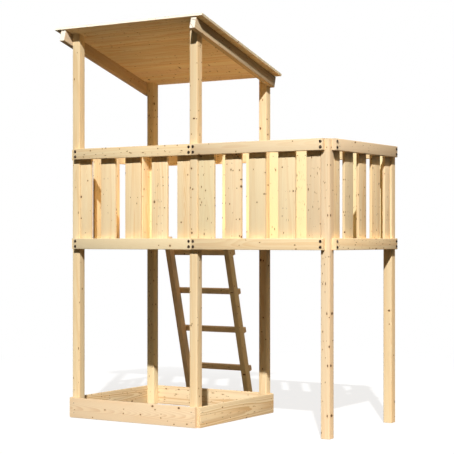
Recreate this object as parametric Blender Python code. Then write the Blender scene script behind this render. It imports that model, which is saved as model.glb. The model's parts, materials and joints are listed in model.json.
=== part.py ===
"""Wooden play tower.

A roofed tower bay stands over a square sandbox, and a second bay of the same
height carries the platform on to the right. Slatted railings close the platform
on every side apart from the entry at the back, where a ladder leans.

The pieces are laid out in a frame whose corner is the outer front corner of the
front left post at ground level: X runs to the right along the front, Y to the
back and Z up. One empty then carries them all to the object's own origin, which
is the middle of its outline on the ground.
"""
import math

import bmesh
import bpy
from mathutils import Matrix, Vector

# Clearances
FIT = 0.0003            # between faces that touch
ENDS = 0.002            # at the free ends of timbers that were sawn to length

# Posts and bays
POST = 0.068            # square post
BAY = 1.089             # from post to post along the front
DEPTH = 0.992           # from the front posts to the back posts
POST_CHAMFER = 0.006
EDGE_CHAMFER = 0.002    # on the long edges of every other timber

# Railings
RAIL_HEIGHT = 0.082
RAIL_OUT = 0.034        # how far a rail stands out from the posts
RAIL_IN = 0.011         # how far it reaches in between the posts, where the slats are screwed to it
TOP_RAIL_TOP = 2.074
BOTTOM_RAIL_TOP = 1.384
SLAT_THICKNESS = 0.020
SLAT_HOUSING = 0.001    # how deep the slats of a closed railing are let into its rails
SLAT_INSET = 0.012      # from a slat's end to the outer edge of the rail that it is screwed to

# Slats of each railing, as pairs of the gap before the slat and its width, counted
# from the post where the railing begins. In a closed railing the inner gaps share
# evenly what the bay leaves, and in the entry side the opening takes all of it.
LAST_GAP = 0.006        # between the last slat of a closed railing and its post
FRONT_LEFT_SLATS = ((0.002, 0.105), (0.093, 0.137), (0.092, 0.144), (0.100, 0.143), (0.088, 0.109))
FRONT_RIGHT_SLATS = ((0.004, 0.138), (0.092, 0.138), (0.064, 0.136), (0.104, 0.138), (0.090, 0.111))
RIGHT_SLATS = ((0.002, 0.105), (0.074, 0.132), (0.087, 0.122), (0.090, 0.138), (0.080, 0.088))
BACK_RIGHT_SLATS = ((0.015, 0.106), (0.081, 0.139), (0.085, 0.140), (0.086, 0.141), (0.080, 0.142))
LEFT_SLATS = ((0.002, 0.102), (0.079, 0.136), (0.100, 0.136), (0.056, 0.136), (0.085, 0.086))
ENTRY_SLATS = ((0.002, 0.139), (0.087, 0.140))

# Platform
BEARER_WIDTH = 0.045
BEARER_HEIGHT = 0.040
DECK_THICKNESS = 0.028
DECK_BOARD = 0.120      # about the width that one deck board covers
NOTCH = 0.003           # clearance round a post that passes the deck

# Roof
ROOF_PITCH = math.radians(15.8)
ROOF_HEIGHT = 2.968     # underside of the boards above the front face of the front posts
ROOF_THICKNESS = 0.018
ROOF_BOARD = 0.100      # about the width that one roof board covers
ROOF_FRONT = 0.092      # overhang of the boards before the posts
ROOF_BACK = 0.002       # how far the boards stop short of the back of the posts
ROOF_SIDE = 0.056       # overhang of the boards past the rafters
GROOVE = 0.003          # depth of the V groove between two boards
RAFTER_THICKNESS = 0.045
RAFTER_HEIGHT = 0.088
RAFTER_FRONT = 0.080    # overhang of the rafters before the posts
RAFTER_BACK = 0.008     # how far the rafters run past the back of the posts

# Sandbox
BOX_HEIGHT = 0.152
BOX_THICKNESS = 0.028

# Ladder
LADDER_LEAN = math.radians(15.0)
LADDER_WIDTH = 0.624    # over both stringers
LADDER_LEFT = 0.110     # from the left face of the tower to the ladder
LADDER_TOP = 1.400
STRINGER_WIDTH = 0.046
STRINGER_DEPTH = 0.067
RUNG_HEIGHT = 0.045
RUNG_DEPTH = 0.035
RUNG_COUNT = 4
FIRST_RUNG = 0.295      # middle of the lowest rung above the ground
RUNG_PITCH = 0.3235     # upright distance from rung to rung

# Sizes that follow
TOWER_WIDTH = BAY + POST
WIDTH = 2.0 * BAY + POST
FULL_DEPTH = DEPTH + POST
BOTTOM_RAIL_BOTTOM = BOTTOM_RAIL_TOP - RAIL_HEIGHT
RAIL_FACE = RAIL_OUT + FIT
SLAT_FRONT = RAIL_IN - SLAT_HOUSING
SLAT_BACK = SLAT_FRONT + SLAT_THICKNESS
SLAT_BOTTOM = BOTTOM_RAIL_BOTTOM + SLAT_INSET
SLAT_TOP = TOP_RAIL_TOP - SLAT_INSET
LADDER_FOOT = FULL_DEPTH + RAIL_FACE + FIT + BOTTOM_RAIL_BOTTOM * math.tan(LADDER_LEAN)

# Outline of the whole, which places the origin
X_MIN = -(RAFTER_THICKNESS + FIT + ROOF_SIDE)
X_MAX = WIDTH + RAIL_FACE
Y_MIN = -(RAFTER_FRONT + (RAFTER_HEIGHT + FIT) * math.sin(ROOF_PITCH))
Y_MAX = LADDER_FOOT + STRINGER_DEPTH / math.cos(LADDER_LEAN)


def material(name, colour, roughness, metallic=0.0):
    """A plain Principled material."""
    made = bpy.data.materials.new(name)
    made.use_nodes = True
    shader = made.node_tree.nodes["Principled BSDF"]
    shader.inputs["Base Color"].default_value = (*colour, 1.0)
    shader.inputs["Roughness"].default_value = roughness
    shader.inputs["Metallic"].default_value = metallic
    return made


def add_part(name, mesh, matrix, colour):
    """Put a mesh in the scene as one named part under the tower's origin."""
    part = bpy.data.objects.new(name, mesh)
    part.matrix_basis = matrix
    part.parent = origin
    part.data.materials.append(wood[colour])
    parts.objects.link(part)
    return part


def add_cutter(name, mesh, matrix):
    """Put a mesh in the scene as a guide for a Boolean."""
    cutter = bpy.data.objects.new(name, mesh)
    cutter.matrix_basis = matrix
    cutter.parent = origin
    cutter.hide_render = True
    cutter.display_type = 'WIRE'
    cutters.objects.link(cutter)
    return cutter


def combine(part, other, operation):
    """Add a Boolean that joins another mesh to the part or takes it away."""
    step = part.modifiers.new(operation.lower(), 'BOOLEAN')
    step.operation = operation
    step.solver = 'EXACT'
    step.object = other


def span(low, high):
    """Matrix of a unit cube stretched from one corner to the other."""
    low = Vector(low)
    high = Vector(high)
    return Matrix.Translation((low + high) / 2.0) @ Matrix.Diagonal((*(high - low), 1.0))


def add_timber(form, low, high, chamfer):
    """Add a sawn timber to a bmesh, with its long edges chamfered."""
    cube = bmesh.ops.create_cube(form, size=1.0, matrix=span(low, high))
    if chamfer <= 0.0:
        return
    size = [b - a for a, b in zip(low, high)]
    longest = size.index(max(size))
    edges = set()
    for vert in cube["verts"]:
        for edge in vert.link_edges:
            run = edge.verts[1].co - edge.verts[0].co
            if abs(abs(run[longest]) - size[longest]) < size[longest] / 100.0:
                edges.add(edge)
    bmesh.ops.bevel(form, geom=list(edges), offset=chamfer, segments=1, affect='EDGES')


def timbers(name, pieces, chamfer=EDGE_CHAMFER):
    """One mesh of timbers, each given by its low and high corner."""
    form = bmesh.new()
    for low, high in pieces:
        add_timber(form, low, high, chamfer)
    mesh = bpy.data.meshes.new(name)
    form.to_mesh(mesh)
    form.free()
    return mesh


def timber(name, low, high, colour, matrix=Matrix.Identity(4), chamfer=EDGE_CHAMFER):
    """A straight timber, with its own origin at its middle."""
    middle = (Vector(low) + Vector(high)) / 2.0
    corners = (Vector(low) - middle, Vector(high) - middle)
    return add_part(name, timbers(name, [corners], chamfer), matrix @ Matrix.Translation(middle), colour)


def boarded_panel(name, across, board, thickness, run, colour, matrix):
    """A close boarded panel, with a V groove at every joint on both faces.

    The boards lie side by side along local X, are as thick as local Y and run
    evenly to both sides along local Z.
    """
    slab = timbers(name, [((0.0, 0.0, -run / 2.0), (across, thickness, run / 2.0))], 0.0)
    panel = add_part(name, slab, matrix, colour)
    form = bmesh.new()
    count = max(1, round(across / board))
    width = GROOVE * math.sqrt(2.0)
    diamond = Matrix.Rotation(math.pi / 4.0, 4, 'Z') @ Matrix.Diagonal((width, width, run + width, 1.0))
    for joint in range(1, count):
        for face in (0.0, thickness):
            place = Matrix.Translation((joint * across / count, face, 0.0))
            bmesh.ops.create_cube(form, size=1.0, matrix=place @ diamond)
    grooves = bpy.data.meshes.new(name + "_grooves")
    form.to_mesh(grooves)
    form.free()
    combine(panel, add_cutter(name + "_grooves", grooves, matrix), 'DIFFERENCE')
    return panel


def roof_frame(x, y):
    """Matrix at the underside of the roof boards: X down the slope, Y off it, Z to the right."""
    run = (math.cos(ROOF_PITCH), math.sin(ROOF_PITCH))
    turn = Matrix(((0.0, 0.0, 1.0), (run[0], run[1], 0.0), (-run[1], run[0], 0.0))).to_4x4()
    height = ROOF_HEIGHT - y * math.tan(ROOF_PITCH)
    return Matrix.Translation((x, y, height)) @ turn


def posts():
    """Four posts cut to the slope of the roof, and two that end level with the top rail."""
    above = BAY
    slope = roof_frame(TOWER_WIDTH / 2.0, 0.0)
    reach = TOWER_WIDTH + FULL_DEPTH
    wedge = timbers("roof_slope", [((-reach, -FIT, -reach), (reach, above, reach))], 0.0)
    cutter = add_cutter("roof_slope", wedge, slope)
    places = {
        "post_front_left": (0.0, 0.0, True),
        "post_front_middle": (BAY, 0.0, True),
        "post_front_right": (2.0 * BAY, 0.0, False),
        "post_back_left": (0.0, DEPTH, True),
        "post_back_middle": (BAY, DEPTH, True),
        "post_back_right": (2.0 * BAY, DEPTH, False),
    }
    for name, (x, y, tall) in places.items():
        top = ROOF_HEIGHT + POST if tall else TOP_RAIL_TOP
        post = timber(name, (x, y, 0.0), (x + POST, y + POST, top), "post", chamfer=POST_CHAMFER)
        if tall:
            combine(post, cutter, 'DIFFERENCE')


def slat_boxes(slats, share=0.0):
    """Corners of the slats of one railing, in its own frame, with a share added to each inner gap."""
    boxes = []
    at = POST - share
    for gap, width in slats:
        at += gap + share
        boxes.append(((at, SLAT_FRONT, SLAT_BOTTOM), (at + width, SLAT_BACK, SLAT_TOP)))
        at += width
    return boxes


def gap_share(length, slats):
    """What each inner gap of a closed railing gets, so that its slats fill the bay."""
    used = sum(gap + width for gap, width in slats) + LAST_GAP
    return (length - POST - used) / (len(slats) - 1)


def rails(name, matrix, length, tops):
    """Rails from the middle of one post to the middle of the next, notched over both posts."""
    boxes = []
    for top in tops:
        low = (POST / 2.0 + FIT / 2.0, -RAIL_OUT, top - RAIL_HEIGHT)
        high = (length + POST / 2.0 - FIT / 2.0, RAIL_IN, top)
        boxes.append((low, high))
    part = add_part(name, timbers(name, boxes), matrix, "railing")
    notches = []
    for start, end in ((0.0, POST + FIT), (length - FIT, length + POST)):
        notches.append(((start, 0.0, BOTTOM_RAIL_BOTTOM - POST), (end, POST, TOP_RAIL_TOP + POST)))
    cutter = add_cutter(name + "_notches", timbers(name + "_notches", notches, 0.0), matrix)
    combine(part, cutter, 'DIFFERENCE')
    return part


def railing_frame(x, y, quarter_turns):
    """Matrix of a railing's own frame: X along it, Y into the tower, from a corner of the posts."""
    turn = Matrix.Rotation(quarter_turns * math.pi / 2.0, 4, 'Z')
    return Matrix.Translation((x, y, 0.0)) @ turn @ Matrix.Translation((0.0, -FIT, 0.0))


def railing(name, matrix, length, slats):
    """Two rails on the outer faces of the posts, with slats screwed behind them, as one panel."""
    panel = rails(name, matrix, length, (TOP_RAIL_TOP, BOTTOM_RAIL_TOP))
    boxes = slat_boxes(slats, gap_share(length, slats))
    boards = add_cutter(name + "_slats", timbers(name + "_slats", boxes), matrix)
    combine(panel, boards, 'UNION')


def railings():
    """Closed railings on five sides, and the entry side with its loose slats."""
    railing("railing_front_left", railing_frame(0.0, 0.0, 0), BAY, FRONT_LEFT_SLATS)
    railing("railing_front_right", railing_frame(BAY, 0.0, 0), BAY, FRONT_RIGHT_SLATS)
    railing("railing_right", railing_frame(WIDTH, 0.0, 1), DEPTH, RIGHT_SLATS)
    railing("railing_back_right", railing_frame(WIDTH, FULL_DEPTH, 2), BAY, BACK_RIGHT_SLATS)
    railing("railing_left", railing_frame(0.0, FULL_DEPTH, 3), DEPTH, LEFT_SLATS)
    entry = railing_frame(TOWER_WIDTH, FULL_DEPTH, 2)
    rails("entry_top_rail", entry, BAY, [TOP_RAIL_TOP])
    rails("entry_bottom_rail", entry, BAY, [BOTTOM_RAIL_TOP])
    behind = entry @ Matrix.Translation((0.0, SLAT_HOUSING + FIT, 0.0))
    for number, (low, high) in enumerate(slat_boxes(ENTRY_SLATS), start=1):
        timber(f"entry_slat_{number}", low, high, "railing", behind)


def platform():
    """Two long bearers on the inner faces of the posts, and a boarded deck in each bay."""
    side = SLAT_BACK + SLAT_HOUSING + ENDS
    top = BOTTOM_RAIL_BOTTOM + BEARER_HEIGHT
    inner = POST + FIT
    far = FULL_DEPTH - inner
    timber("bearer_front", (side, inner, BOTTOM_RAIL_BOTTOM),
           (WIDTH - side, inner + BEARER_WIDTH, top), "frame")
    timber("bearer_back", (side, far - BEARER_WIDTH, BOTTOM_RAIL_BOTTOM),
           (WIDTH - side, far, top), "frame")
    notches = []
    for column in range(3):
        for row in range(2):
            x = column * BAY
            y = row * DEPTH
            notches.append(((x - NOTCH, y - NOTCH, BOTTOM_RAIL_BOTTOM),
                            (x + POST + NOTCH, y + POST + NOTCH, TOP_RAIL_TOP)))
    cutter = add_cutter("post_notches", timbers("post_notches", notches, 0.0), Matrix.Identity(4))
    depth = FULL_DEPTH - 2.0 * side
    middle = TOWER_WIDTH - POST / 2.0
    bays = {"deck_tower": (side, middle - ENDS / 2.0), "deck_extension": (middle + ENDS / 2.0, WIDTH - side)}
    for name, (left, right) in bays.items():
        place = Matrix.Translation((left, FULL_DEPTH / 2.0, top + FIT)) @ Matrix.Rotation(math.pi / 2.0, 4, 'X')
        deck = boarded_panel(name, right - left, DECK_BOARD, DECK_THICKNESS, depth, "deck", place)
        combine(deck, cutter, 'DIFFERENCE')


def roof():
    """Two rafters on the outer sides of the tower posts, and boards across them."""
    length = (FULL_DEPTH + RAFTER_FRONT + RAFTER_BACK) / math.cos(ROOF_PITCH)
    for name, x in (("rafter_left", -FIT - RAFTER_THICKNESS), ("rafter_right", TOWER_WIDTH + FIT)):
        timber(name, (0.0, -FIT - RAFTER_HEIGHT, 0.0), (length, -FIT, RAFTER_THICKNESS),
               "frame", roof_frame(x, -RAFTER_FRONT))
    side = RAFTER_THICKNESS + FIT + ROOF_SIDE
    across = (FULL_DEPTH + ROOF_FRONT - ROOF_BACK) / math.cos(ROOF_PITCH)
    boarded_panel("roof_boards", across, ROOF_BOARD, ROOF_THICKNESS, TOWER_WIDTH + 2.0 * side,
                  "roof", roof_frame(TOWER_WIDTH / 2.0, -ROOF_FRONT))


def sandbox():
    """Four boards on edge round the outer faces of the tower posts."""
    out = BOX_THICKNESS + FIT
    timber("sandbox_front", (0.0, -out, 0.0), (TOWER_WIDTH, -FIT, BOX_HEIGHT), "box")
    timber("sandbox_back", (0.0, FULL_DEPTH + FIT, 0.0), (TOWER_WIDTH, FULL_DEPTH + out, BOX_HEIGHT), "box")
    timber("sandbox_left", (-out, 0.0, 0.0), (-FIT, FULL_DEPTH, BOX_HEIGHT), "box")
    timber("sandbox_right", (TOWER_WIDTH + FIT, 0.0, 0.0), (TOWER_WIDTH + out, FULL_DEPTH, BOX_HEIGHT), "box")


def ladder():
    """Two leaning stringers cut to the ground and to the platform's rail, with rungs behind them."""
    foot = Matrix.Translation((LADDER_LEFT, LADDER_FOOT, 0.0)) @ Matrix.Rotation(LADDER_LEAN, 4, 'X')
    length = LADDER_TOP / math.cos(LADDER_LEAN) + STRINGER_DEPTH
    wall = FULL_DEPTH + RAIL_FACE + FIT
    reach = LADDER_TOP + LADDER_WIDTH
    waste = {
        "waste_below_ground": ((-reach, wall - reach, -reach), (reach, wall + reach, 0.0)),
        "waste_inside_rail": ((-reach, wall - reach, -reach), (reach, wall, reach)),
        "waste_above_ladder": ((-reach, wall - reach, LADDER_TOP), (reach, wall + reach, LADDER_TOP + reach)),
    }
    cuts = [add_cutter(name, timbers(name, [box], 0.0), Matrix.Identity(4)) for name, box in waste.items()]
    for name, x in (("stringer_left", 0.0), ("stringer_right", LADDER_WIDTH - STRINGER_WIDTH)):
        stringer = timber(name, (x, 0.0, -STRINGER_DEPTH), (x + STRINGER_WIDTH, STRINGER_DEPTH, length),
                          "ladder", foot)
        for cut in cuts:
            combine(stringer, cut, 'DIFFERENCE')
    behind = STRINGER_DEPTH + FIT
    for number in range(RUNG_COUNT):
        height = FIRST_RUNG + number * RUNG_PITCH
        along = (height - behind * math.sin(LADDER_LEAN)) / math.cos(LADDER_LEAN)
        timber(f"rung_{number + 1}", (0.0, behind, along - RUNG_HEIGHT / 2.0),
               (LADDER_WIDTH, behind + RUNG_DEPTH, along + RUNG_HEIGHT / 2.0), "ladder", foot)


for old in list(bpy.data.objects):
    bpy.data.objects.remove(old)

parts = bpy.data.collections.new("play_tower")
cutters = bpy.data.collections.new("cutters")
for collection in (parts, cutters):
    bpy.context.scene.collection.children.link(collection)

wood = {
    "post": material("post_pine", (0.83, 0.63, 0.38), 0.6),
    "railing": material("railing_pine", (0.84, 0.65, 0.42), 0.62),
    "deck": material("deck_pine", (0.78, 0.60, 0.38), 0.65),
    "frame": material("frame_pine", (0.82, 0.62, 0.38), 0.6),
    "roof": material("roof_spruce", (0.85, 0.66, 0.42), 0.62),
    "box": material("box_pine", (0.84, 0.64, 0.40), 0.62),
    "ladder": material("ladder_pine", (0.76, 0.56, 0.34), 0.62),
}

origin = bpy.data.objects.new("tower_origin", None)
origin.location = (-(X_MIN + X_MAX) / 2.0, -(Y_MIN + Y_MAX) / 2.0, 0.0)
parts.objects.link(origin)

posts()
railings()
platform()
roof()
sandbox()
ladder()
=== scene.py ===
"""Looks of the wooden play tower: every board, bolt and screw, the wood itself, light and camera."""
import json
import math
import random

import bmesh
import bpy
from mathutils import Matrix, Vector


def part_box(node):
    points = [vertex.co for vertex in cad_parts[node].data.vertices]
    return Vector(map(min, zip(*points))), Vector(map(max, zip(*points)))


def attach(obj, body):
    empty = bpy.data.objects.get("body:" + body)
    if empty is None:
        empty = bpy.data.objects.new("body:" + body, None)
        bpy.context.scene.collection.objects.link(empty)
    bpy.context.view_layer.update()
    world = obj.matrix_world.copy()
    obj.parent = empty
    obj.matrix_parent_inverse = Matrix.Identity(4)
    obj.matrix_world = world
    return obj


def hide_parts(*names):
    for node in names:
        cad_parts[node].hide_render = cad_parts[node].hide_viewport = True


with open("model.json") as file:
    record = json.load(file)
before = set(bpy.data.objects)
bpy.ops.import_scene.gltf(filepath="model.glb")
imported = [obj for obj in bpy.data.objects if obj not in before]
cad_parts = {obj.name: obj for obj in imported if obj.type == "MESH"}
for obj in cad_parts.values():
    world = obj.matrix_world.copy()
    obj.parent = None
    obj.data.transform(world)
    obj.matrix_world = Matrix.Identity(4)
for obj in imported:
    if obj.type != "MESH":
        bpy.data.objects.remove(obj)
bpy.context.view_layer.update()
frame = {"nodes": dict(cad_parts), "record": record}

# The axis that each closed railing runs along, X as 0 and Y as 1, and on which side of the tower it is
RAILINGS = {
    "railing_front_left": (0, -1),
    "railing_front_right": (0, -1),
    "railing_right": (1, 1),
    "railing_back_right": (0, 1),
    "railing_left": (1, -1),
}

# Sizes of the railings' timbers, which the frame shows only as whole railings, in metres
RAIL_THICKNESS = 0.045
RAIL_HEIGHT = 0.082
RAIL_NOTCH = 0.0003
SLAT_THICKNESS = 0.020
SLAT_INSET = 0.012

# Sizes of the boards that the frame shows only as closed panels
DECK_BOARD = 0.120
DECK_GAP = 0.005
DECK_NOTCH = 0.003
ROOF_BOARD = 0.100
ROOF_GAP = 0.0003
TOP_VEE = 0.003
LOW_VEE = 0.0014
TONGUE = 0.006
TONGUE_HALF = 0.0026
GROOVE_HALF = 0.0030
GROOVE_SPARE = 0.001

# Tall posts end at least this far above the top rail
TALLER = 0.1

# The stringers' gap to the rail that they lean on, and the spare length they have before they are cut
LEAN_GAP = 0.0003
SPARE_LENGTH = 0.12

# Edges
POST_RADIUS = 0.006
RAIL_RADIUS = 0.0035
SLAT_RADIUS = 0.0028
FRAME_RADIUS = 0.0035
END_EASE = 0.0015
ARC_STEPS = 4
SHARP_DEGREES = 38.0

# What lies nearer than this to a board's end, or to the next stretch of a node, belongs to it
NEAR = 0.001

# Least cosine between directions that are roughly the same
ROUGHLY = 0.5

# Bolts
BOLT_RADIUS = 0.0096
BOLT_HEIGHT = 0.0075
WASHER_RADIUS = 0.0115
WASHER_HEIGHT = 0.0016
BOLT_FROM_END = 0.0185
BOLT_APART = 0.040

# Screws, and where they stand as shares of a board's width
SCREW_RADIUS = 0.0042
SCREW_HEIGHT = 0.0012
SCREW_SINK = 0.0003
SCREW_CLEAR = 0.012
SLAT_SCREWS = (0.25, 0.75)
DECK_SCREWS = (0.22, 0.78)
BOX_SCREWS = (0.25, 0.75)
ROOF_SCREWS = (-0.26, 0.26)

# The posts behind the ends of each sandbox board
BOX_POSTS = {
    "front": ("front_left", "front_middle"),
    "back": ("back_left", "back_middle"),
    "left": ("front_left", "back_left"),
    "right": ("front_middle", "back_middle"),
}

# How a board lies in its log: turns in radians, lengths in metres
TURN_SPREAD = 0.35
HEART_BEYOND = (0.008, 0.055)
LOG_LENGTH = 60.0

# How much the growth rings widen along a board, which draws arches on its face
TAPERS = (0.002, 0.004, 0.010, 0.025, 0.045)

# The sandbox's front board, whose growth rings draw tight arches
ARCHED = "sandbox_front"
ARCHED_TAPER = 0.055
ARCHED_HEART = 0.070

# Growth rings, how little the way along the log counts for them, and by how many rings they waver
RINGS_PER_METRE = 250.0
LOG_STRETCH = (0.006, 1.0, 1.0)
WAVER = 2.5

# Where in a ring its latewood grows dark and ends, and how dark it gets between pale and dark streaks
LATEWOOD_RISE = (0.20, 0.86)
LATEWOOD_FALL = (1.0, 0.93)
LATEWOOD_DEPTH = (0.22, 0.66)

# Noise along and across the log, where most of its values lie, and how far the log's heart wanders
WANDER_SCALE = (1.5, 2.0, 2.0)
WANDER_REACH = (0.0, 0.030, 0.018)
WAVER_SCALE = (0.2, 24.0, 24.0)
FIBRE_SCALE = (14.0, 900.0, 900.0)
FIBRE_RANGE = (0.2, 0.8)
STREAK_SCALE = (0.7, 22.0, 22.0)
STREAK_RANGE = (0.3, 0.7)

# Small and large knots, in metres: how far apart, radii, and how far they push the growth rings aside
PIN_SPACING = 0.058
PIN_RADII = (0.0030, 0.0060)
PIN_PUSH = 0.0016
KNOT_SPACING = 0.115
KNOT_PUSH = 0.0050

# Where on the log the pattern of large knots starts, away from that of the small ones
KNOT_SHIFT = (7.3, 2.9, 0.0)

# The smallest of the large knots as a share of the largest, and knots from a clear to a knotty board
KNOT_SMALLEST = 0.6
PIN_VARIES = (0.3, 1.7)
KNOT_VARIES = (0.6, 1.4)

# Where the parts of a knot begin and are full, in its radii
PIN_CORE = (1.15, 0.75)
PIN_HALO = (3.2, 0.9)
KNOT_CORE = (1.05, 0.90)
KNOT_RIM_OUTER = (1.30, 1.0)
KNOT_RIM_INNER = (0.55, 0.95)
KNOT_HALO = (3.6, 0.9)

# The parts of a knot, how well each covers the wood, and its colour
KNOT_PAINTS = (
    ("halo", 0.24, (0.68, 0.36, 0.12)),
    ("core", 0.88, (0.12, 0.048, 0.016)),
    ("rim", 0.80, (0.055, 0.023, 0.009)),
    ("pin_core", 0.95, (0.085, 0.032, 0.010)),
)

# Earlywood and latewood by slot
EARLY = (0.92, 0.735, 0.46)
LATE = (0.80, 0.55, 0.28)
TONES = {
    "box": ((0.85, 0.69, 0.445), (0.56, 0.34, 0.15)),
    # The ladder's paler tone is painted light that lifts the ladder in the deck's shade
    "ladder": ((0.98, 0.81, 0.53), (0.86, 0.61, 0.33)),
    "roof": ((0.93, 0.78, 0.52), (0.78, 0.54, 0.28)),
    # The frame's darker tone is painted shade for the shaded sides of the rafters; the bearers share it
    "frame": ((0.57, 0.465, 0.31), (0.45, 0.32, 0.18)),
}

# Share of cells with a small and with a large knot, radius of the largest, strength of the rings
FIGURE = (0.19, 0.22, 0.0088, 1.1)
FIGURES = {
    "box": (0.22, 0.42, 0.0086, 1.8),
    "roof": (0.22, 0.20, 0.0086, 1.5),
}

# Orange streaks, boards that are pinker than others, and how light boards and fibres are
ORANGE = (0.86, 0.57, 0.28)
ORANGE_FROM = (0.38, 0.72)
ORANGE_MOST = 0.46
PINK = (0.88, 0.66, 0.46)
PINK_FROM = (0.45, 1.0)
PINK_MOST = 0.58
BOARD_LIGHT = (0.94, 1.04)
FIBRE_LIGHT = (0.965, 1.03)

# Boards of pale yellow sapwood, and their tone, pink and yellow
SAPWOOD = ("railing_back_right_slat", "entry_slat")
SAPWOOD_SORT = (1.0, 0.0, 1.5)
LEMON = (0.80, 0.695, 0.415)
LEMON_FROM = (0.4, 1.5)

# Tones that mark a painted highlight in cream, at the rafters' sunlit front ends and the roof's front edge,
# and dull end grain, at the roof's sides
HIGHLIGHT_MARK = 2.0
HIGHLIGHT_CREAM = (0.98, 0.93, 0.80)
DULL = 4.0
END_GRAIN = (0.60, 0.50, 0.32)
END_MOST = 0.85

# The wood's surface, and how much of its relief the fibres and the rings add and the knots take away
WOOD_ROUGHNESS = (0.66, 0.76)
WOOD_SPECULAR = 0.10
BUMP_STRENGTH = 0.30
RELIEF = 0.0006
FIBRE_RELIEF = 0.35
RING_RELIEF = 0.25
KNOT_RELIEF = 0.5

# Steel, dark and pale
STEELS = {
    "bolt_steel": ((0.038, 0.025, 0.016), (0.080, 0.055, 0.038)),
    "screw_steel": ((0.28, 0.24, 0.17), (0.42, 0.37, 0.27)),
}
STEEL_CLOUDS = 160.0
CLOUD_RANGE = (0.3, 0.7)
STEEL_ROUGHNESS = (0.20, 0.30)

# The camera, worked out from the posts and rails in the photograph
PHOTO_SIZE = 454
FOCAL_PIXELS = 1368.0
SENSOR = 36.0
CAMERA_PLACE = (5.570, -9.0444, 1.3786)
CAMERA_TURN = 0.5614
HORIZON = 239.14

# Two far lamps
KEY_FROM = (0.62, -1.04, 1.0)
KEY_STRENGTH = 4.45
KEY_ANGLE = 0.9
KEY_TINT = (1.0, 1.0, 1.0)
SIDE_FROM = (1.0, 0.15, 1.15)
SIDE_STRENGTH = 0.50
SIDE_ANGLE = 25.0
SIDE_TINT = (1.0, 0.60, 0.27)

# The warm lamp on the deck, its sizes and place as shares of the deck's
GLOW_POWER = 2.7
GLOW_TINT = (1.0, 0.62, 0.25)
GLOW_WIDTH = 0.8
GLOW_DEPTH = 0.6
GLOW_BACK = 0.62
GLOW_ABOVE = 0.06

# Soft light from the front, and from behind where a direction's Y reaches the turn
SKY_FRONT = (0.130, 0.117, 0.078)
SKY_BACK = (0.320, 0.290, 0.240)
SKY_TURN = 0.6

# The floor: what it throws back near the tower and far off, and where it fades to white
WHITE = (1.0, 1.0, 1.0)
FLOOR_RADIUS = 60.0
FLOOR_SIDES = 64
FLOOR_ROUGHNESS = 0.9
NEAR_BOUNCE = (0.28, 0.232, 0.178)
FAR_BOUNCE = (0.0, 0.0, 0.0)
NEAR_RADIUS = 1.3
FAR_RADIUS = 2.1
FADE_FROM = 2.2
FADE_TO = 6.0
FADE_LEAST = 0.80

AXES = {
    "X": Matrix(((1, 0, 0), (0, 1, 0), (0, 0, 1))),
    "Y": Matrix(((0, -1, 0), (1, 0, 0), (0, 0, 1))),
    "Z": Matrix(((0, 1, 0), (0, 0, 1), (1, 0, 0))),
}
RIGHT = Vector((1.0, 0.0, 0.0))
BACK = Vector((0.0, 1.0, 0.0))
UP = Vector((0.0, 0.0, 1.0))

chance = random.Random(1875)
slots = {row["slot"] for row in frame["record"]["materials"]}
post_nodes = sorted(name for name in frame["nodes"] if name.startswith("post_"))
tower_middle = (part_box("railing_front_left")[0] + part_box("railing_back_right")[1]) / 2.0


def rounded_section(width, thickness, radius):
    """Outline of a board's cross-section, counter-clockwise, with rounded corners."""
    points = []
    for corner, (sx, sy) in enumerate(((1, 1), (-1, 1), (-1, -1), (1, -1))):
        cx = sx * (width / 2.0 - radius)
        cy = sy * (thickness / 2.0 - radius)
        for step in range(ARC_STEPS + 1):
            angle = (corner + step / ARC_STEPS) * math.pi / 2.0
            points.append((cx + radius * math.cos(angle), cy + radius * math.sin(angle)))
    return points


def tongue_section(cover, thick, first, last):
    """Section of a board with a tongue on its far edge, a groove in its near edge and V joints."""
    half = cover / 2.0
    top = thick / 2.0
    edge = ROOF_GAP - half
    groove = TONGUE + GROOVE_SPARE - half
    far = [(half - LOW_VEE, -top), (half, LOW_VEE - top)]
    if not last:
        far += [(half, -TONGUE_HALF), (half + TONGUE, -TONGUE_HALF)]
        far += [(half + TONGUE, TONGUE_HALF), (half, TONGUE_HALF)]
    far += [(half, top - TOP_VEE), (half - TOP_VEE, top)]
    near = [(TOP_VEE - half, top), (edge, top - TOP_VEE)]
    if not first:
        near += [(edge, GROOVE_HALF), (groove, GROOVE_HALF)]
        near += [(groove, -GROOVE_HALF), (edge, -GROOVE_HALF)]
    near += [(edge, LOW_VEE - top), (LOW_VEE - half, -top)]
    return far + near


def board_mesh(name, length, outline, cuts=()):
    """A board along local X with that cross-section in Y and Z, eased at its ends.

    Each cut is a pair of a point and a direction, and takes away all that lies on
    that side of the plane.
    """
    form = bmesh.new()
    ease = END_EASE
    stations = ((0.0, ease), (ease, 0.0), (length / 2.0, 0.0), (length - ease, 0.0), (length, ease))
    reach = max(max(abs(a), abs(b)) for a, b in outline)
    rings = []
    for along, inset in stations:
        shrink = 1.0 - inset / reach
        rings.append([form.verts.new((along - length / 2.0, a * shrink, b * shrink)) for a, b in outline])
    for near, far in zip(rings, rings[1:]):
        for index in range(len(outline)):
            after = (index + 1) % len(outline)
            form.faces.new((near[index], near[after], far[after], far[index]))
    form.faces.new(list(reversed(rings[0])))
    form.faces.new(rings[-1])
    bmesh.ops.recalc_face_normals(form, faces=form.faces)
    for place, away in cuts:
        parts = form.verts[:] + form.edges[:] + form.faces[:]
        made = bmesh.ops.bisect_plane(form, geom=parts, plane_co=place, plane_no=away, clear_outer=True)
        rim = [edge for edge in made["geom_cut"] if isinstance(edge, bmesh.types.BMEdge)]
        bmesh.ops.holes_fill(form, edges=rim)
    return mesh_from(form, name)


def mesh_from(form, name):
    """Turn a bmesh into a mesh and free it."""
    mesh = bpy.data.meshes.new(name)
    form.to_mesh(mesh)
    form.free()
    return mesh


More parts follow.
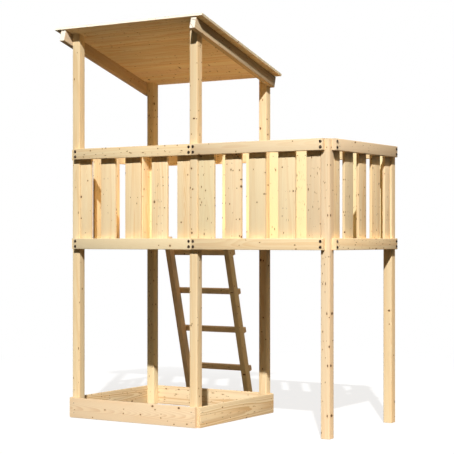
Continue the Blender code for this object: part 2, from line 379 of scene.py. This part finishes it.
def new_object(name, data):
    """An object in the scene with that mesh, lamp or camera."""
    made = bpy.data.objects.new(name, data)
    bpy.context.scene.collection.objects.link(made)
    return made


def add_grain(mesh):
    """Store where each point lies in its log, and what sort of board it is.

    The log's heart lies off the board on the side of one of its wide faces, as it
    does in most sawn timber. The sort is the board's tone, how pink and how yellow
    it is, and how many knots it has.
    """
    wide = max(vert.co.y for vert in mesh.vertices)
    deep = max(vert.co.z for vert in mesh.vertices)
    turn = chance.gauss(0.0, TURN_SPREAD) + (0.0 if deep > wide else math.pi / 2.0)
    turn += math.pi * chance.randrange(2)
    heart = min(wide, deep) + chance.uniform(*HEART_BEYOND)
    taper = chance.choice(TAPERS) * chance.choice((-1.0, 1.0))
    start = chance.uniform(0.0, LOG_LENGTH)
    if mesh.name.startswith(ARCHED):
        turn = 0.0
        heart = ARCHED_HEART
        taper = ARCHED_TAPER
    grain = mesh.attributes.new("grain", 'FLOAT_VECTOR', 'POINT')
    for item, vert in zip(grain.data, mesh.vertices):
        out = vert.co.y * math.cos(turn) + vert.co.z * math.sin(turn)
        side = vert.co.z * math.cos(turn) - vert.co.y * math.sin(turn)
        item.vector = (vert.co.x + start, heart + out + taper * vert.co.x, side)
    tone, pink, yellow, knotty = (chance.random() for _ in range(4))
    if mesh.name.startswith("roof"):
        yellow = 0.0
    if mesh.name.startswith(SAPWOOD):
        tone, pink, yellow = SAPWOOD_SORT
    board = mesh.attributes.new("board", 'FLOAT_COLOR', 'POINT')
    for item in board.data:
        item.color = (tone, pink, yellow, knotty)


def tint(mesh, tone, chosen):
    """Give the board's points that pass a test the mark of a painted highlight in cream or of dull end
    grain.
    """
    for item, vert in zip(mesh.attributes["board"].data, mesh.vertices):
        if chosen(vert.co):
            item.color[0] = tone


def finish_piece(name, mesh, matrix, wood, nodes):
    """Make a mesh a piece of the tower that stands for those nodes of the frame."""
    mesh.shade_smooth()
    mesh.set_sharp_from_angle(angle=math.radians(SHARP_DEGREES))
    piece = new_object(name, mesh)
    piece.matrix_world = matrix
    piece.data.materials.append(materials[wood])
    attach(piece, "root")
    if nodes:
        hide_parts(*nodes)
    return piece


def straight_board(name, low, high, along, radius, wood, nodes, cutter=None):
    """A board that fills a box between two corners, its grain along one axis."""
    turn = AXES[along]
    size = [abs(value) for value in turn.transposed() @ (high - low)]
    mesh = board_mesh(name, size[0], rounded_section(size[1], size[2], radius))
    matrix = Matrix.Translation((low + high) / 2.0) @ turn.to_4x4()
    if cutter:
        mesh = carve(mesh, matrix, cutter)
    add_grain(mesh)
    return finish_piece(name, mesh, matrix, wood, nodes)


def turned_board(node, axes, spare=0.0, cuts=()):
    """A timber that fills a node along three directions, its grain along the first, and its place.

    It is longer than the node by the spare length, and loses what lies beyond each
    cut, a pair of a point and a direction.
    """
    reaches = [extent(node, axis) for axis in axes]
    size = [high - low for low, high in reaches]
    centre = Vector((0.0, 0.0, 0.0))
    for axis, (low, high) in zip(axes, reaches):
        centre += axis * (low + high) / 2.0
    turn = Matrix(axes).transposed()
    own = turn.transposed()
    planes = [(own @ (Vector(point) - centre), own @ Vector(away)) for point, away in cuts]
    section = rounded_section(size[1], size[2], FRAME_RADIUS)
    mesh = board_mesh(node + "_timber", size[0] + spare, section, cuts=planes)
    add_grain(mesh)
    return mesh, Matrix.Translation(centre) @ turn.to_4x4()


def carve(mesh, matrix, cutter):
    """The mesh without what lies inside the cutter."""
    name = mesh.name
    rough = new_object("rough", mesh)
    rough.matrix_world = matrix
    step = rough.modifiers.new("notches", 'BOOLEAN')
    step.operation = 'DIFFERENCE'
    step.solver = 'EXACT'
    step.object = cutter
    bpy.context.view_layer.update()
    done = bpy.data.meshes.new_from_object(rough.evaluated_get(bpy.context.evaluated_depsgraph_get()))
    bpy.data.objects.remove(rough)
    bpy.data.meshes.remove(mesh)
    done.name = name
    return done


def post_cutter(name, clearance):
    """A helper object that fills all the posts and a clearance round them, to carve notches with."""
    form = bmesh.new()
    for post in post_nodes:
        low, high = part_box(post)
        size = high - low + 2.0 * Vector((clearance, clearance, 0.0))
        place = Matrix.Translation((low + high) / 2.0) @ Matrix.Diagonal((*size, 1.0))
        bmesh.ops.create_cube(form, size=1.0, matrix=place)
    return new_object(name, mesh_from(form, name))


def extent(node, way):
    """How far a node reaches along a direction, least and most."""
    reaches = [vert.co.dot(way) for vert in frame["nodes"][node].data.vertices]
    return min(reaches), max(reaches)


def facing(node, way):
    """The direction of a node's largest face, of those that look roughly one way."""
    faces = [face for face in frame["nodes"][node].data.polygons if face.normal.dot(way) > ROUGHLY]
    return max(faces, key=lambda face: face.area).normal.copy()


def spans(node, axis, height):
    """The stretches that a node fills along an axis, where a level plane cuts it."""
    mesh = frame["nodes"][node].data
    stretches = []
    for face in mesh.polygons:
        points = [mesh.vertices[index].co for index in face.vertices]
        crossings = []
        for a, b in zip(points, points[1:] + points[:1]):
            if (a.z - height) * (b.z - height) < 0.0:
                share = (height - a.z) / (b.z - a.z)
                crossings.append(a[axis] + (b[axis] - a[axis]) * share)
        if len(crossings) > 1:
            stretches.append((min(crossings), max(crossings)))
    joined = []
    for low, high in sorted(stretches):
        if joined and low < joined[-1][1] + NEAR:
            joined[-1][1] = max(joined[-1][1], high)
        else:
            joined.append([low, high])
    return joined


def world_box(piece):
    """Lowest and highest corner of a piece."""
    places = [piece.matrix_world @ vert.co for vert in piece.data.vertices]
    low = Vector([min(place[i] for place in places) for i in range(3)])
    high = Vector([max(place[i] for place in places) for i in range(3)])
    return low, high


class Nodes:
    """Short calls that build the node tree of a material or of the world."""

    def __init__(self, owner):
        owner.use_nodes = True
        self.owner = owner
        self.tree = owner.node_tree
        self.shader = self.tree.nodes.get("Principled BSDF")

    def new(self, kind):
        return self.tree.nodes.new(kind)

    def put(self, socket, value):
        """Link a socket, or set it where the value is a plain number or colour."""
        if isinstance(value, bpy.types.NodeSocket):
            self.tree.links.new(value, socket)
        else:
            socket.default_value = value

    def attribute(self, name):
        node = self.new('ShaderNodeAttribute')
        node.attribute_name = name
        return node

    def maths(self, operation, a, b=0.0):
        node = self.new('ShaderNodeMath')
        node.operation = operation
        self.put(node.inputs[0], a)
        self.put(node.inputs[1], b)
        return node.outputs[0]

    def vectors(self, operation, a, b):
        node = self.new('ShaderNodeVectorMath')
        node.operation = operation
        self.put(node.inputs[0], a)
        self.put(node.inputs["Scale" if operation == 'SCALE' else 1], b)
        return node.outputs["Value" if operation == 'LENGTH' else "Vector"]

    def noise(self, vector, scale, detail=2.0, roughness=0.5):
        node = self.new('ShaderNodeTexNoise')
        self.put(node.inputs["Vector"], vector)
        node.inputs["Scale"].default_value = scale
        node.inputs["Detail"].default_value = detail
        node.inputs["Roughness"].default_value = roughness
        return node

    def between(self, value, low, high, out_low=0.0, out_high=1.0):
        """A smooth step of a value from one level to another."""
        node = self.new('ShaderNodeMapRange')
        node.interpolation_type = 'SMOOTHSTEP'
        self.put(node.inputs["Value"], value)
        settings = (("From Min", low), ("From Max", high), ("To Min", out_low), ("To Max", out_high))
        for socket, setting in settings:
            self.put(node.inputs[socket], setting)
        return node.outputs["Result"]

    def mix(self, share, a, b):
        """Mix two colours, whose sockets are the node's inputs 6 and 7 and its output 2."""
        node = self.new('ShaderNodeMix')
        node.data_type = 'RGBA'
        self.put(node.inputs[0], share)
        self.put(node.inputs[6], a)
        self.put(node.inputs[7], b)
        return node.outputs[2]

    def mix_shaders(self, share, a, b):
        node = self.new('ShaderNodeMixShader')
        for socket, value in zip(node.inputs, (share, a, b)):
            self.put(socket, value)
        return node.outputs[0]


def colour(red, green, blue):
    return (red, green, blue, 1.0)


def knots(make, place, spacing, smallest, largest, share):
    """Knots of one size range: where there are any, and how far off the nearest is in its radii."""
    per_metre = 1.0 / spacing
    cells = make.new('ShaderNodeTexVoronoi')
    cells.voronoi_dimensions = '2D'
    make.put(cells.inputs["Vector"], place)
    cells.inputs["Scale"].default_value = per_metre
    split = make.new('ShaderNodeSeparateColor')
    make.put(split.inputs[0], cells.outputs["Color"])
    there = make.maths('GREATER_THAN', split.outputs[0], make.maths('SUBTRACT', 1.0, share))
    radius = make.between(split.outputs[1], 0.0, 1.0, smallest * per_metre, largest * per_metre)
    return there, make.maths('DIVIDE', cells.outputs["Distance"], radius)


def knot_marks(make, place, pin_part, knot_part, largest):
    """The parts of small and of large knots, each as the share of it that a point has."""
    pin, pin_ratio = knots(make, place, PIN_SPACING, *PIN_RADII, pin_part)
    shifted = make.vectors('ADD', place, KNOT_SHIFT)
    big, big_ratio = knots(make, shifted, KNOT_SPACING, KNOT_SMALLEST * largest, largest, knot_part)
    outer = make.between(big_ratio, *KNOT_RIM_OUTER)
    ring = make.maths('MULTIPLY', outer, make.between(big_ratio, *KNOT_RIM_INNER))
    marks = {
        "pin_core": make.maths('MULTIPLY', make.between(pin_ratio, *PIN_CORE), pin),
        "pin_halo": make.maths('MULTIPLY', make.between(pin_ratio, *PIN_HALO), pin),
        "core": make.maths('MULTIPLY', make.between(big_ratio, *KNOT_CORE), big),
        "rim": make.maths('MULTIPLY', ring, big),
        "big_halo": make.maths('MULTIPLY', make.between(big_ratio, *KNOT_HALO), big),
    }
    marks["halo"] = make.maths('MAXIMUM', marks["pin_halo"], marks["big_halo"])
    return marks


def log_places(make, grain):
    """Where a point lies in its log, how far from the heart, and where on the log's unrolled skin.

    The heart wanders a little along the log.
    """
    noise = make.noise(make.vectors('MULTIPLY', grain, WANDER_SCALE), 1.0, 1.0)
    wander = make.vectors('SUBTRACT', noise.outputs["Color"], (0.5, 0.5, 0.5))
    bent = make.vectors('ADD', grain, make.vectors('MULTIPLY', wander, WANDER_REACH))
    radius = make.vectors('LENGTH', make.vectors('MULTIPLY', bent, LOG_STRETCH), (0.0, 0.0, 0.0))
    parts = make.new('ShaderNodeSeparateXYZ')
    make.put(parts.inputs[0], grain)
    round_log = make.maths('MULTIPLY', make.maths('ARCTAN2', parts.outputs[2], parts.outputs[1]), radius)
    unrolled = make.new('ShaderNodeCombineXYZ')
    make.put(unrolled.inputs[0], parts.outputs[0])
    make.put(unrolled.inputs[1], round_log)
    return bent, radius, unrolled.outputs[0]


def latewood_share(make, bent, radius, marks):
    """Growth rings, pushed aside by the knots: how much a point is of the dark wood of late summer."""
    pin_push = make.maths('MULTIPLY', marks["pin_halo"], PIN_PUSH)
    push = make.maths('ADD', pin_push, make.maths('MULTIPLY', marks["big_halo"], KNOT_PUSH))
    waver = make.noise(make.vectors('MULTIPLY', bent, WAVER_SCALE), 1.0, 1.0).outputs["Fac"]
    count = make.maths('MULTIPLY', make.maths('ADD', radius, push), RINGS_PER_METRE)
    ring = make.maths('FRACT', make.maths('ADD', count, make.maths('MULTIPLY', waver, WAVER)))
    return make.maths('MULTIPLY', make.between(ring, *LATEWOOD_RISE), make.between(ring, *LATEWOOD_FALL))


def wood_material(name, early, late, pin_share, knot_share, largest, figure):
    """Planed softwood: growth rings, fibres, knots, and tones that vary from board to board."""
    make = Nodes(bpy.data.materials.new(name))
    bent, radius, place = log_places(make, make.attribute("grain").outputs["Vector"])
    sort = make.attribute("board")
    board = make.new('ShaderNodeSeparateColor')
    make.put(board.inputs[0], sort.outputs["Color"])
    tone, pink, yellow = board.outputs[:3]
    knotty = sort.outputs["Alpha"]
    pin_part = make.between(knotty, 0.0, 1.0, *[pin_share * part for part in PIN_VARIES])
    knot_part = make.between(knotty, 0.0, 1.0, *[knot_share * part for part in KNOT_VARIES])
    marks = knot_marks(make, place, pin_part, knot_part, largest)
    latewood = latewood_share(make, bent, radius, marks)
    fibre = make.noise(make.vectors('MULTIPLY', bent, FIBRE_SCALE), 1.0, 3.0, 0.6).outputs["Fac"]
    streak = make.noise(make.vectors('MULTIPLY', bent, STREAK_SCALE), 1.0, 3.0, 0.55).outputs["Fac"]

    # Colour
    depth = make.between(streak, *STREAK_RANGE, *[figure * part for part in LATEWOOD_DEPTH])
    body = make.mix(make.maths('MULTIPLY', latewood, depth), colour(*early), colour(*late))
    body = make.mix(make.between(streak, *ORANGE_FROM, 0.0, ORANGE_MOST), body, colour(*ORANGE))
    body = make.mix(make.between(pink, *PINK_FROM, 0.0, PINK_MOST), body, colour(*PINK))
    body = make.mix(make.between(yellow, *LEMON_FROM), body, colour(*LEMON))
    light = make.between(fibre, *FIBRE_RANGE, *FIBRE_LIGHT)
    light = make.maths('MULTIPLY', make.between(tone, 0.0, 1.0, *BOARD_LIGHT), light)
    body = make.vectors('SCALE', body, light)
    # Painted highlight: cream where a board's tone is raised to the highlight mark; dull end grain above
    # that
    body = make.mix(make.between(tone, 1.0, HIGHLIGHT_MARK, 0.0, END_MOST), body, colour(*HIGHLIGHT_CREAM))
    body = make.mix(make.between(tone, HIGHLIGHT_MARK, DULL, 0.0, END_MOST), body, colour(*END_GRAIN))
    for mark, cover, paint in KNOT_PAINTS:
        body = make.mix(make.maths('MULTIPLY', marks[mark], cover), body, colour(*paint))
    make.put(make.shader.inputs["Base Color"], body)

    # Surface
    make.put(make.shader.inputs["Roughness"], make.between(fibre, *FIBRE_RANGE, *WOOD_ROUGHNESS))
    make.shader.inputs["Specular IOR Level"].default_value = WOOD_SPECULAR
    rings = make.maths('MULTIPLY', latewood, RING_RELIEF)
    height = make.maths('ADD', make.maths('MULTIPLY', fibre, FIBRE_RELIEF), rings)
    height = make.maths('SUBTRACT', height, make.maths('MULTIPLY', marks["core"], KNOT_RELIEF))
    bump = make.new('ShaderNodeBump')
    bump.inputs["Strength"].default_value = BUMP_STRENGTH
    bump.inputs["Distance"].default_value = RELIEF
    make.put(bump.inputs["Height"], height)
    make.put(make.shader.inputs["Normal"], bump.outputs["Normal"])
    return make.owner


def steel_material(name, dark, pale):
    """Coated steel: a little uneven in tone and gloss."""
    make = Nodes(bpy.data.materials.new(name))
    place = make.new('ShaderNodeTexCoord').outputs["Object"]
    cloud = make.noise(place, STEEL_CLOUDS, 3.0).outputs["Fac"]
    make.put(make.shader.inputs["Base Color"], make.mix(cloud, colour(*dark), colour(*pale)))
    make.put(make.shader.inputs["Roughness"], make.between(cloud, *CLOUD_RANGE, *STEEL_ROUGHNESS))
    make.shader.inputs["Metallic"].default_value = 1.0
    return make.owner


def all_materials():
    """Wood for each slot of the record, and steel."""
    made = {}
    for slot in sorted(slots):
        early, late = TONES.get(slot, (EARLY, LATE))
        made[slot] = wood_material(slot + "_wood", early, late, *FIGURES.get(slot, FIGURE))
    for name, (dark, pale) in STEELS.items():
        made[name] = steel_material(name, dark, pale)
    return made


def roof_axes():
    """Directions to the right, down the roof's slope, and square off its upper side."""
    upper = facing("roof_boards", UP)
    slope = math.atan2(upper.y, upper.z)
    down = Vector((0.0, math.cos(slope), -math.sin(slope)))
    off = Vector((0.0, math.sin(slope), math.cos(slope)))
    return RIGHT, down, off


def ladder_axes():
    """Directions to the right, up along the ladder, and square off its back."""
    behind = facing("rung_1", BACK)
    lean = math.atan2(behind.z, behind.y)
    up = Vector((0.0, -math.sin(lean), math.cos(lean)))
    back = Vector((0.0, math.cos(lean), math.sin(lean)))
    return RIGHT, up, back


def posts():
    """Six posts, the tall ones cut to the slope of the roof."""
    off = roof_axes()[2]
    turn = AXES["Z"]
    for name in post_nodes:
        low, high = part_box(name)
        size = high - low
        middle = (low + high) / 2.0
        cuts = []
        if high.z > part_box("entry_top_rail")[1].z + TALLER:
            crown = Vector((middle.x, low.y, high.z))
            cuts.append((turn.transposed() @ (crown - middle), turn.transposed() @ off))
        mesh = board_mesh(name + "_timber", size.z, rounded_section(size.x, size.y, POST_RADIUS), cuts=cuts)
        add_grain(mesh)
        finish_piece(name + "_timber", mesh, Matrix.Translation(middle) @ turn.to_4x4(), "post", [name])


def railing_boards():
    """The two rails and the slats of each closed railing, and those of the entry side.

    It returns the rails of the closed railings, those of the entry, and all slats.
    """
    cutter = post_cutter("rail_notches", RAIL_NOTCH)
    rails = []
    entry = []
    slats = []
    for name, (axis, side) in RAILINGS.items():
        low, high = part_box(name)
        across = 1 - axis
        inner = (low if side > 0 else high)[across]
        outer = (high if side > 0 else low)[across]
        back = outer - side * RAIL_THICKNESS
        face = inner + side * SLAT_THICKNESS
        levels = {"top": (high.z - RAIL_HEIGHT, high.z), "bottom": (low.z, low.z + RAIL_HEIGHT)}
        for level, (under, over) in levels.items():
            a, b = low.copy(), high.copy()
            a.z, b.z = under, over
            a[across], b[across] = min(back, outer), max(back, outer)
            rail = f"{name}_{level}_rail"
            rails.append(straight_board(rail, a, b, "XY"[axis], RAIL_RADIUS, "railing", [name], cutter))
        for number, (start, end) in enumerate(spans(name, axis, (low.z + high.z) / 2.0), start=1):
            a, b = low.copy(), high.copy()
            a[axis], b[axis] = start, end
            a[across], b[across] = min(inner, face), max(inner, face)
            a.z, b.z = low.z + SLAT_INSET, high.z - SLAT_INSET
            slat = f"{name}_slat_{number}"
            slats.append(straight_board(slat, a, b, "Z", SLAT_RADIUS, "railing", [name]))
    for name in ("entry_top_rail", "entry_bottom_rail"):
        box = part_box(name)
        entry.append(straight_board(name + "_board", *box, "X", RAIL_RADIUS, "railing", [name], cutter))
    for name in ("entry_slat_1", "entry_slat_2"):
        slats.append(straight_board(name + "_board", *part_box(name), "Z", SLAT_RADIUS, "railing", [name]))
    bpy.data.objects.remove(cutter)
    return rails, entry, slats


def straight_timbers():
    """Bearers and sandbox boards, which fill their nodes' boxes."""
    for name in ("bearer_front", "bearer_back"):
        straight_board(name + "_timber", *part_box(name), "X", FRAME_RADIUS, "frame", [name])
    for name in ("sandbox_front", "sandbox_back"):
        straight_board(name + "_board", *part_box(name), "X", RAIL_RADIUS, "box", [name])
    for name in ("sandbox_left", "sandbox_right"):
        straight_board(name + "_board", *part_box(name), "Y", RAIL_RADIUS, "box", [name])


def deck_boards():
    """Boards across each bay, with gaps between them and notches round the posts."""
    cutter = post_cutter("deck_notches", DECK_NOTCH)
    boards = []
    for node in ("deck_tower", "deck_extension"):
        low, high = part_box(node)
        count = round((high.x - low.x) / DECK_BOARD)
        cover = (high.x - low.x + DECK_GAP) / count
        for number in range(count):
            a, b = low.copy(), high.copy()
            a.x = low.x + number * cover
            b.x = a.x + cover - DECK_GAP
            name = f"{node}_board_{number + 1}"
            boards.append(straight_board(name, a, b, "Y", FRAME_RADIUS, "deck", [node], cutter))
    bpy.data.objects.remove(cutter)
    return boards


def roof_boards():
    """Tongued boards from side to side, one after another down the slope."""
    axes = roof_axes()
    (left, right), (front, back), (under, over) = [extent("roof_boards", axis) for axis in axes]
    count = round((back - front) / ROOF_BOARD)
    cover = (back - front) / count
    width = right - left
    turn = Matrix(axes).transposed().to_4x4()
    side = width / 2.0 - NEAR
    edge = NEAR - cover / 2.0
    boards = []
    for number in range(count):
        name = f"roof_board_{number + 1}"
        outline = tongue_section(cover, over - under, number == 0, number == count - 1)
        mesh = board_mesh(name, width, outline)
        add_grain(mesh)
        tint(mesh, DULL, lambda co: abs(co.x) > side)
        # The first board's front edge gets a painted highlight in cream
        if number == 0:
            tint(mesh, HIGHLIGHT_MARK, lambda co: co.y < edge)
        middle = ((left + right) / 2.0, front + (number + 0.5) * cover, (under + over) / 2.0)
        place = turn @ Matrix.Translation(middle)
        boards.append(finish_piece(name, mesh, place, "roof", ["roof_boards"]))
    return boards


def rafters():
    """The two rafters, in the frame's darker wood that paints shade, their front ends given a painted
    highlight in cream.
    """
    right, down, off = roof_axes()
    for node in ("rafter_left", "rafter_right"):
        mesh, place = turned_board(node, (down, -right, off))
        front = min(vert.co.x for vert in mesh.vertices)
        tint(mesh, HIGHLIGHT_MARK, lambda co: co.x < front + NEAR)
        finish_piece(node + "_timber", mesh, place, "frame", [node])


def ladder_parts():
    """Two leaning stringers, cut at the ground, the rail and the top, and four rungs."""
    right, up, back = ladder_axes()
    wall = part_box("entry_bottom_rail")[1].y + LEAN_GAP
    for node in ("stringer_left", "stringer_right"):
        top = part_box(node)[1].z
        cuts = (((0.0, 0.0, 0.0), -UP), ((0.0, wall, 0.0), -BACK), ((0.0, 0.0, top), UP))
        mesh, place = turned_board(node, (up, right, back), SPARE_LENGTH, cuts)
        mesh.transform(place)
        finish_piece(node + "_timber", mesh, Matrix.Identity(4), "ladder", [node])
    for node in sorted(name for name in frame["nodes"] if name.startswith("rung_")):
        mesh, place = turned_board(node, (right, -up, back))
        finish_piece(node + "_timber", mesh, place, "ladder", [node])


def dome(form, place, outward, radius, height, rings=4, sides=20):
    """Add a low dome to a bmesh, its flat side on a point of a surface."""
    matrix = Matrix.Translation(place) @ outward.to_track_quat('Z', 'Y').to_matrix().to_4x4()
    below = None
    for ring in range(rings):
        angle = ring / rings * math.pi / 2.0
        across = radius * math.cos(angle)
        up = height * math.sin(angle)
        loop = []
        for side in range(sides):
            round_by = side / sides * math.tau
            point = Vector((across * math.cos(round_by), across * math.sin(round_by), up))
            loop.append(form.verts.new(matrix @ point))
        if below is None:
            form.faces.new(list(reversed(loop)))
        else:
            for index in range(sides):
                after = (index + 1) % sides
                form.faces.new((below[index], below[after], loop[after], loop[index]))
        below = loop
    crown = form.verts.new(matrix @ Vector((0.0, 0.0, height)))
    for index in range(sides):
        form.faces.new((below[index], below[(index + 1) % sides], crown))


def far_side(low, high, axis):
    """1 for a box beyond the tower's middle along an axis, -1 for one before it."""
    return 1.0 if (low[axis] + high[axis]) / 2.0 > tower_middle[axis] else -1.0


def on_face(low, high, along, at, height, away):
    """A point on a box's face that looks one way along an axis, and that direction."""
    across = 1 - along
    place = Vector((0.0, 0.0, height))
    place[along] = at
    place[across] = high[across] if away > 0.0 else low[across]
    outward = Vector((0.0, 0.0, 0.0))
    outward[across] = away
    return place, outward


def bolts(rails):
    """Two dome-headed bolts with washers through both ends of every rail."""
    for rail in rails:
        low, high = world_box(rail)
        along = 0 if high.x - low.x > high.y - low.y else 1
        away = far_side(low, high, 1 - along)
        form = bmesh.new()
        for end in (low[along] + BOLT_FROM_END, high[along] - BOLT_FROM_END):
            for step in (-0.5, 0.5):
                height = (low.z + high.z) / 2.0 + step * BOLT_APART
                place, outward = on_face(low, high, along, end, height, away)
                dome(form, place, outward, WASHER_RADIUS, WASHER_HEIGHT, rings=2)
                dome(form, place + outward * WASHER_HEIGHT * 0.5, outward, BOLT_RADIUS, BOLT_HEIGHT)
        name = rail.name + "_bolts"
        finish_piece(name, mesh_from(form, name), Matrix.Identity(4), "bolt_steel", [])


def screw_group(name, places):
    """One piece of screw heads, each with a place and the way it points."""
    form = bmesh.new()
    for place, outward in places:
        dome(form, place - outward * SCREW_SINK, outward, SCREW_RADIUS, SCREW_HEIGHT, rings=2, sides=12)
    finish_piece(name, mesh_from(form, name), Matrix.Identity(4), "screw_steel", [])


def slat_screws(slats):
    """Two screws through each slat into both rails, from the inside."""
    places = []
    for slat in slats:
        low, high = world_box(slat)
        along = 1 if high.x - low.x < high.y - low.y else 0
        away = -far_side(low, high, 1 - along)
        for height in (low.z - SLAT_INSET + RAIL_HEIGHT / 2.0, high.z + SLAT_INSET - RAIL_HEIGHT / 2.0):
            for share in SLAT_SCREWS:
                at = low[along] + (high[along] - low[along]) * share
                places.append(on_face(low, high, along, at, height, away))
    screw_group("slat_screws", places)


def by_a_post(place):
    """Whether a place on the deck is too near a post for a screw."""
    for low, high in map(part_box, post_nodes):
        if (low.x - SCREW_CLEAR < place.x < high.x + SCREW_CLEAR
                and low.y - SCREW_CLEAR < place.y < high.y + SCREW_CLEAR):
            return True
    return False


def deck_screws(boards):
    """Two screws through each deck board into both bearers, clear of the posts."""
    lines = [sum(corner.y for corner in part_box(name)) / 2.0 for name in ("bearer_front", "bearer_back")]
    places = []
    for board in boards:
        low, high = world_box(board)
        for line in lines:
            for share in DECK_SCREWS:
                place = Vector((low.x + (high.x - low.x) * share, line, high.z))
                if not by_a_post(place):
                    places.append((place, UP))
    screw_group("deck_screws", places)


def roof_screws(boards):
    """Two screws through each roof board into both rafters."""
    off = roof_axes()[2]
    places = []
    for board in boards:
        top = max(vert.co.z for vert in board.data.vertices)
        for node in ("rafter_left", "rafter_right"):
            low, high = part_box(node)
            for step in ROOF_SCREWS:
                place = board.matrix_world @ Vector((0.0, step * ROOF_BOARD, top))
                place.x = (low.x + high.x) / 2.0
                places.append((place, off))
    screw_group("roof_screws", places)


def box_screws():
    """Two screws through each sandbox board into the posts behind its ends."""
    places = []
    for side, corners in BOX_POSTS.items():
        low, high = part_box("sandbox_" + side)
        along = 0 if side in ("front", "back") else 1
        away = 1.0 if side in ("back", "right") else -1.0
        for corner in corners:
            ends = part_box("post_" + corner)
            at = (ends[0][along] + ends[1][along]) / 2.0
            for share in BOX_SCREWS:
                height = low.z + (high.z - low.z) * share
                places.append(on_face(low, high, along, at, height, away))
    screw_group("box_screws", places)


def floor():
    """A plain pale floor that fades to white."""
    make = Nodes(bpy.data.materials.new("floor_white"))
    place = make.new('ShaderNodeTexCoord').outputs["Object"]
    out = make.vectors('LENGTH', place, (0.0, 0.0, 0.0))
    path = make.new('ShaderNodeLightPath')
    bounce = make.mix(make.between(out, NEAR_RADIUS, FAR_RADIUS), colour(*NEAR_BOUNCE), colour(*FAR_BOUNCE))
    tone = make.mix(path.outputs["Is Camera Ray"], bounce, colour(*WHITE))
    make.put(make.shader.inputs["Base Color"], tone)
    make.shader.inputs["Roughness"].default_value = FLOOR_ROUGHNESS
    make.shader.inputs["Specular IOR Level"].default_value = 0.0
    glow = make.new('ShaderNodeEmission')
    glow.inputs["Color"].default_value = colour(*WHITE)
    seen = make.maths('MAXIMUM', path.outputs["Is Camera Ray"], path.outputs["Is Glossy Ray"])
    fade = make.maths('MULTIPLY', seen, make.between(out, FADE_FROM, FADE_TO, FADE_LEAST, 1.0))
    surface = make.mix_shaders(fade, make.shader.outputs[0], glow.outputs[0])
    make.put(make.tree.nodes["Material Output"].inputs["Surface"], surface)
    bpy.ops.mesh.primitive_circle_add(vertices=FLOOR_SIDES, radius=FLOOR_RADIUS, fill_type='NGON',
                                      location=(0.0, 0.0, 0.0))
    disc = bpy.context.object
    disc.name = "floor"
    disc.data.materials.append(make.owner)


def backdrop():
    """Soft light from all round, and plain white where the camera sees past the floor."""
    make = Nodes(bpy.data.worlds.new("studio"))
    bpy.context.scene.world = make.owner
    make.tree.nodes.clear()
    aim = make.new('ShaderNodeSeparateXYZ')
    make.put(aim.inputs[0], make.new('ShaderNodeTexCoord').outputs["Generated"])
    tone = make.mix(make.between(aim.outputs["Y"], 0.0, SKY_TURN), colour(*SKY_FRONT), colour(*SKY_BACK))
    fill = make.new('ShaderNodeBackground')
    make.put(fill.inputs["Color"], tone)
    white = make.new('ShaderNodeBackground')
    white.inputs["Color"].default_value = colour(*WHITE)
    path = make.new('ShaderNodeLightPath')
    mirrored = make.maths('MAXIMUM', path.outputs["Is Glossy Ray"], path.outputs["Is Transmission Ray"])
    seen = make.maths('MAXIMUM', path.outputs["Is Camera Ray"], mirrored)
    end = make.new('ShaderNodeOutputWorld')
    make.put(end.inputs["Surface"], make.mix_shaders(seen, fill.outputs[0], white.outputs[0]))


def sun(name, source, strength, angle, tint):
    """A far lamp that shines from a direction, its edge as soft as its angle in degrees."""
    data = bpy.data.lights.new(name, 'SUN')
    data.energy = strength
    data.angle = math.radians(angle)
    data.color = tint
    lamp = new_object(name, data)
    lamp.rotation_mode = 'QUATERNION'
    lamp.rotation_quaternion = Vector(source).to_track_quat('Z', 'Y')


def deck_glow():
    """A soft warm lamp on the tower's deck that lights the underside of the roof."""
    low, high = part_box("deck_tower")
    data = bpy.data.lights.new("deck_glow", 'AREA')
    data.shape = 'RECTANGLE'
    data.size = (high.x - low.x) * GLOW_WIDTH
    data.size_y = (high.y - low.y) * GLOW_DEPTH
    data.energy = GLOW_POWER
    data.color = GLOW_TINT
    glow = new_object("deck_glow", data)
    glow.location = ((low.x + high.x) / 2.0, low.y + (high.y - low.y) * GLOW_BACK, high.z + GLOW_ABOVE)
    glow.rotation_euler = (math.pi, 0.0, 0.0)
    glow.visible_camera = False


def camera():
    """The photograph's place, angle and lens."""
    data = bpy.data.cameras.new("camera")
    data.sensor_width = SENSOR
    data.lens = FOCAL_PIXELS * SENSOR / PHOTO_SIZE
    data.shift_y = (HORIZON - PHOTO_SIZE / 2.0) / PHOTO_SIZE
    view = new_object("camera", data)
    view.location = CAMERA_PLACE
    view.rotation_euler = (math.pi / 2.0, 0.0, CAMERA_TURN)
    bpy.context.scene.camera = view


materials = all_materials()
posts()
closed_rails, entry_rails, slats = railing_boards()
straight_timbers()
decking = deck_boards()
roofing = roof_boards()
rafters()
ladder_parts()
bolts(sorted(closed_rails, key=lambda rail: rail.name) + entry_rails)
slat_screws(slats)
deck_screws(decking)
roof_screws(roofing)
box_screws()

floor()
backdrop()
sun("key", KEY_FROM, KEY_STRENGTH, KEY_ANGLE, KEY_TINT)
sun("side", SIDE_FROM, SIDE_STRENGTH, SIDE_ANGLE, SIDE_TINT)
deck_glow()
camera()
bpy.context.scene.view_settings.view_transform = 'Standard'
